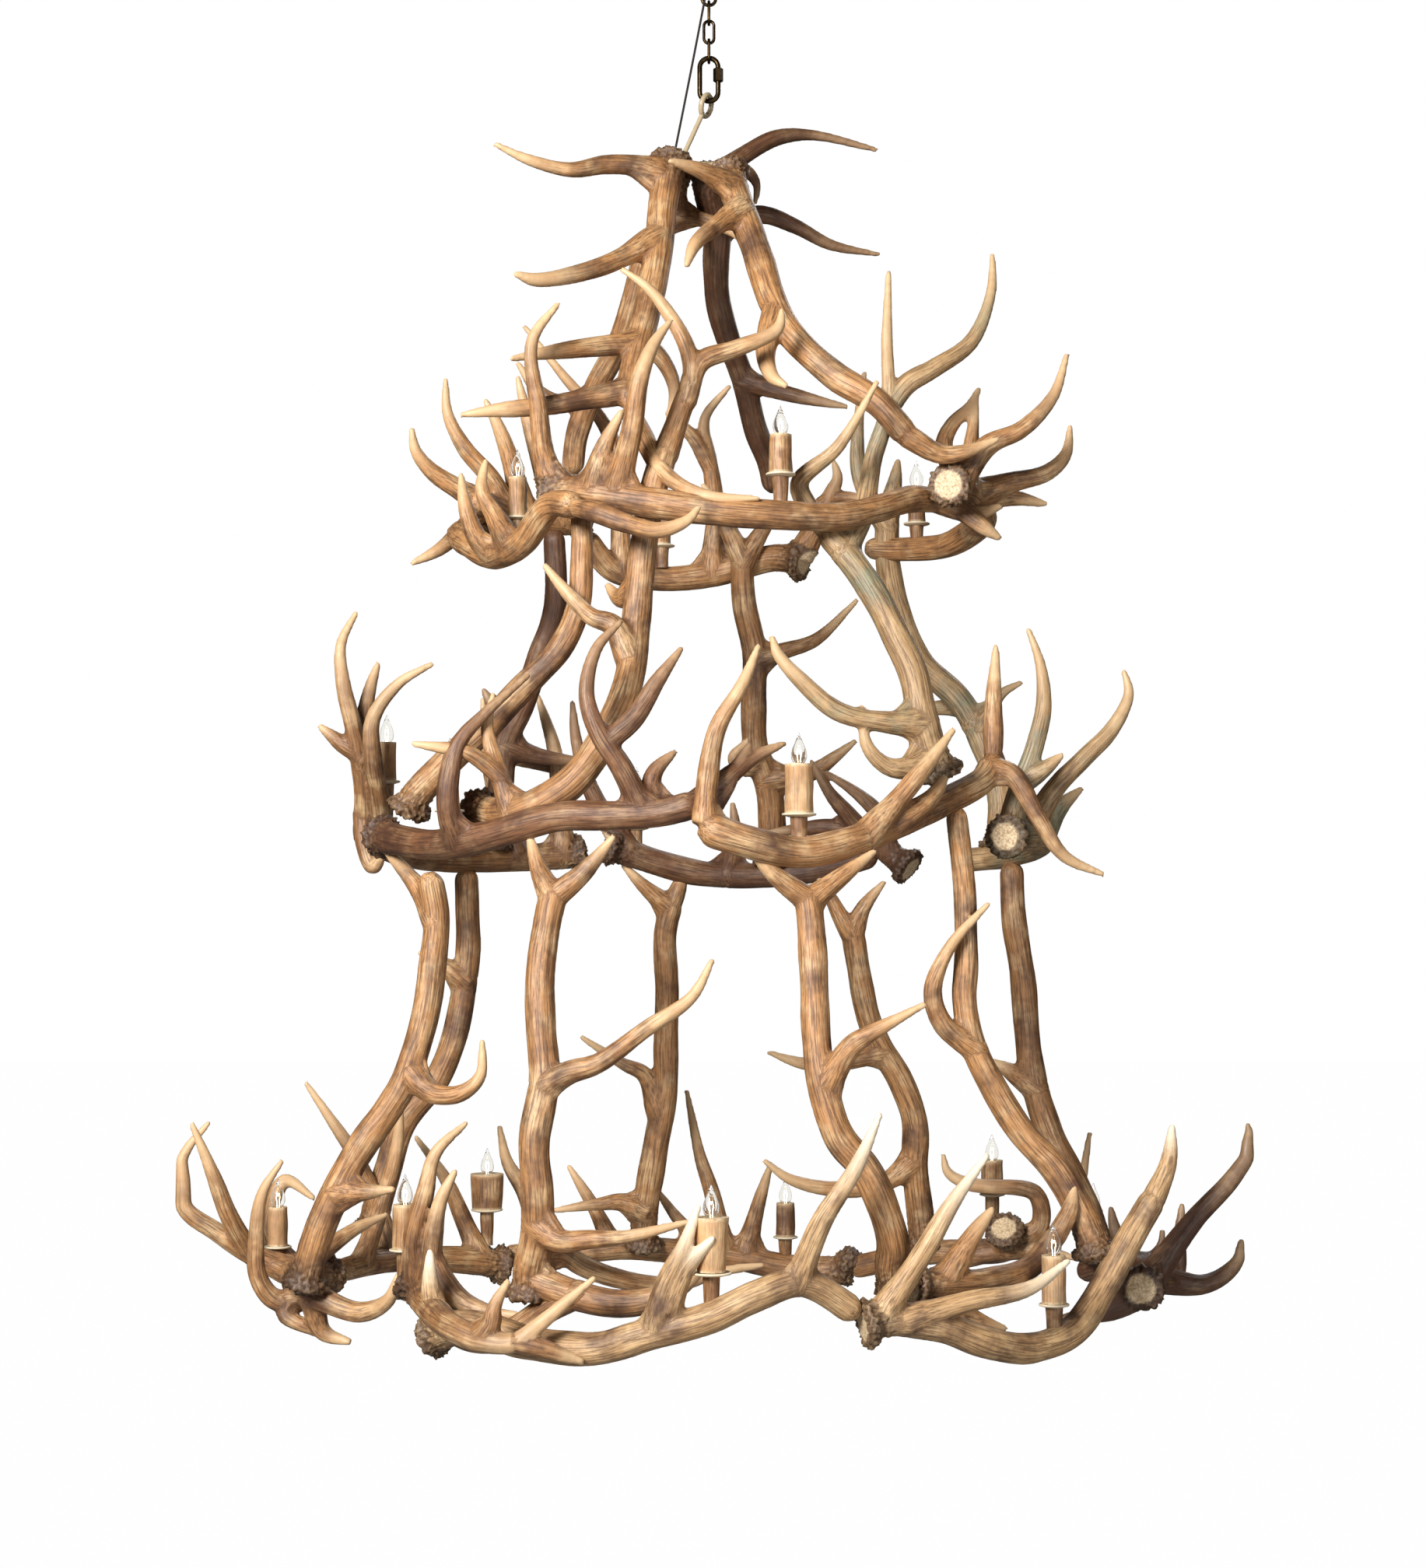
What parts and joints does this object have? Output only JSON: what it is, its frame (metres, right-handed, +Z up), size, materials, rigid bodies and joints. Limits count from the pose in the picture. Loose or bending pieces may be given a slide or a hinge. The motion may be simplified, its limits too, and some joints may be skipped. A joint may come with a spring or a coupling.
{
  "type": "antler chandelier",
  "caption": "Three-ring chandelier of interlocked shed antlers with candle-style lights, hung by a short chain from a ceiling canopy.",
  "frame": {"origin": "centre of the ceiling bracket's top face, where the fixture meets the ceiling", "axes": "+Z up into the ceiling, +X to the right and -Y to the front, as the picture sees it"},
  "size_m": [1.8061, 1.3103, 2.3594],
  "materials": {
    "antler_tan": "satin",
    "antler_dark": "satin",
    "antler_grey": "satin",
    "antler_pale": "satin",
    "ivory_plastic": "satin",
    "socket_plastic": "matte",
    "clear_glass": "polished",
    "bulb_base_brass": "polished",
    "bracket_steel": "zinc plated",
    "antique_brass": "aged",
    "cream_paint": "gloss",
    "cord_brown": "matte"
  },
  "bodies": {
    "ceiling_fixture": {"ceiling_bracket": "bracket_steel", "canopy": "antique_brass", "screw_collar": "antique_brass", "hanging_loop": "antique_brass", "cord_bushing": "antique_brass", "supply_cord": "cord_brown"},
    "chain_link_1": {"chain_link_1": "antique_brass"},
    "chain_link_2": {"chain_link_2": "antique_brass"},
    "chain_link_3": {"chain_link_3": "antique_brass"},
    "quick_link": {"quick_link": "antique_brass"},
    "quick_link_nut": {"quick_link_nut": "antique_brass"},
    "chandelier": {"eye_bolt": "cream_paint", "candle_stubs": "antler_tan", "candle_sleeves": "antler_tan", "candle_dishes": "ivory_plastic", "lamp_sockets": "socket_plastic", "bulbs": "clear_glass", "bulb_bases": "bulb_base_brass", "antler_apex_front_left": "antler_tan", "antler_apex_front_right": "antler_tan", "antler_apex_rear_left": "antler_tan", "antler_apex_rear_right": "antler_dark", "antler_bottom_front": "antler_pale", "antler_bottom_front_left": "antler_tan", "antler_bottom_front_right": "antler_pale", "antler_bottom_left": "antler_tan", "antler_bottom_rear": "antler_tan", "antler_bottom_rear_left": "antler_tan", "antler_bottom_rear_right": "antler_tan", "antler_bottom_right": "antler_dark", "antler_bottom_right_inner": "antler_tan", "antler_lower_front_centre_left": "antler_tan", "antler_lower_front_centre_right": "antler_tan", "antler_lower_front_left": "antler_tan", "antler_lower_front_right": "antler_tan", "antler_lower_rear_centre_left": "antler_tan", "antler_lower_rear_centre_right": "antler_tan", "antler_lower_rear_left": "antler_tan", "antler_lower_rear_right": "antler_tan", "antler_middle_front_left": "antler_dark", "antler_middle_front_right": "antler_tan", "antler_middle_left": "antler_tan", "antler_middle_rear": "antler_dark", "antler_middle_rear_right": "antler_dark", "antler_middle_right": "antler_grey", "antler_top_front": "antler_tan", "antler_top_front_left": "antler_tan", "antler_top_rear": "antler_tan", "antler_top_rear_left": "antler_tan", "antler_top_right": "antler_tan", "antler_upper_front_centre_left": "antler_tan", "antler_upper_front_left": "antler_tan", "antler_upper_front_right": "antler_grey", "antler_upper_rear": "antler_tan", "antler_upper_rear_left": "antler_dark", "antler_upper_rear_right": "antler_grey"}
  },
  "joints": [
    {"name": "chain_link_1_swing", "type": "hinge", "parent": "ceiling_fixture", "child": "chain_link_1", "pos_m": [0, 0, -0.068], "axis": [1, 0, 0], "range_deg": [-35, 35], "deforming": ["supply_cord"]},
    {"name": "chain_link_2_swing", "type": "hinge", "parent": "chain_link_1", "child": "chain_link_2", "pos_m": [0, 0, -0.10145], "axis": [0, 1, 0], "range_deg": [-35, 35], "deforming": ["supply_cord"]},
    {"name": "chain_link_3_swing", "type": "hinge", "parent": "chain_link_2", "child": "chain_link_3", "pos_m": [0, 0, -0.13515], "axis": [1, 0, 0], "range_deg": [-35, 35], "deforming": ["supply_cord"]},
    {"name": "quick_link_swing", "type": "hinge", "parent": "chain_link_3", "child": "quick_link", "pos_m": [0, 0, -0.16885], "axis": [0, 1, 0], "range_deg": [-35, 35], "deforming": ["supply_cord"]},
    {"name": "chandelier_swing", "type": "hinge", "parent": "quick_link", "child": "chandelier", "pos_m": [0, 0, -0.2373], "axis": [1, 0, 0], "range_deg": [-15, 15], "deforming": ["supply_cord"]},
    {"name": "quick_link_nut_travel", "type": "slide", "parent": "quick_link", "child": "quick_link_nut", "axis": [0, 0, 1], "range_m": [-0.014, 0]}
  ]
}
